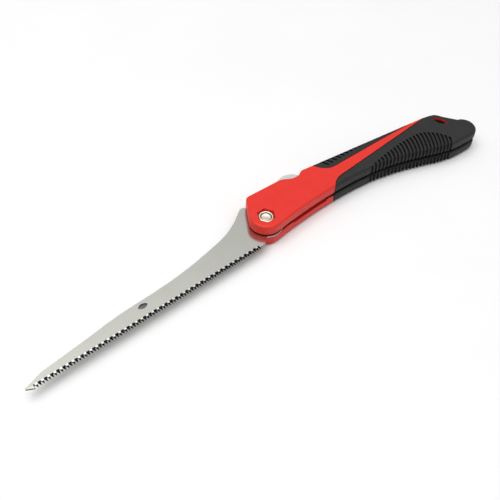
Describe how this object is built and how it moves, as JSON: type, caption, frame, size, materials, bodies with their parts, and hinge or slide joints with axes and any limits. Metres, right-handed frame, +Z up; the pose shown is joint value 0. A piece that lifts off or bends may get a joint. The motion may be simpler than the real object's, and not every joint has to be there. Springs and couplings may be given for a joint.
{
  "type": "folding pruning saw",
  "caption": "Folding pruning saw, shown open: a straight toothed blade on a pivot bolt, with a lock lever, between two handle shells with soft grips.",
  "frame": {"origin": "middle of the bounding box, on the plane the lower shell rests on", "axes": "+X along the saw from the blade's tip to the tail, +Y across it towards the back and the lock lever, +Z up through its thickness"},
  "size_m": [0.4332, 0.0666, 0.0195],
  "materials": {
    "core_nylon": "moulded, satin",
    "grip_rubber": "moulded soft grip, matt",
    "blade_steel": "fine ground, satin",
    "lever_steel": "tumbled, satin",
    "zinc_steel": "bright zinc plate",
    "plain_steel": "turned",
    "spring_steel": "rolled strip",
    "white_nylon": "moulded"
  },
  "bodies": {
    "handle": {"blade_stop_pin": "plain_steel", "handle_screw_1": "plain_steel", "handle_screw_2": "plain_steel", "handle_screw_3": "plain_steel", "handle_screw_4": "plain_steel", "lever_pin": "plain_steel", "lever_spring": "spring_steel", "lower_back_grip": "grip_rubber", "lower_belly_grip": "grip_rubber", "lower_pivot_washer": "white_nylon", "lower_shell": "core_nylon", "nut_nylon_ring": "white_nylon", "pivot_bolt": "zinc_steel", "pivot_bush": "plain_steel", "pivot_nut": "zinc_steel", "upper_back_grip": "grip_rubber", "upper_belly_grip": "grip_rubber", "upper_pivot_washer": "white_nylon", "upper_shell": "core_nylon"},
    "blade": {"blade": "blade_steel"},
    "lock_lever": {"lock_lever": "lever_steel"}
  },
  "joints": [
    {"name": "blade_fold", "type": "hinge", "parent": "handle", "child": "blade", "pos_m": [-0.00094, 0.00295, 0.00975], "axis": [0, 0, 1], "range_deg": [0, 169.5]},
    {"name": "lever_press", "type": "hinge", "parent": "handle", "child": "lock_lever", "pos_m": [0.03706, 0.01835, 0.00975], "axis": [0, 0, 1], "range_deg": [-8, 0], "stiffness_Nm_per_rad": 0.6, "springref_deg": 6.88}
  ]
}
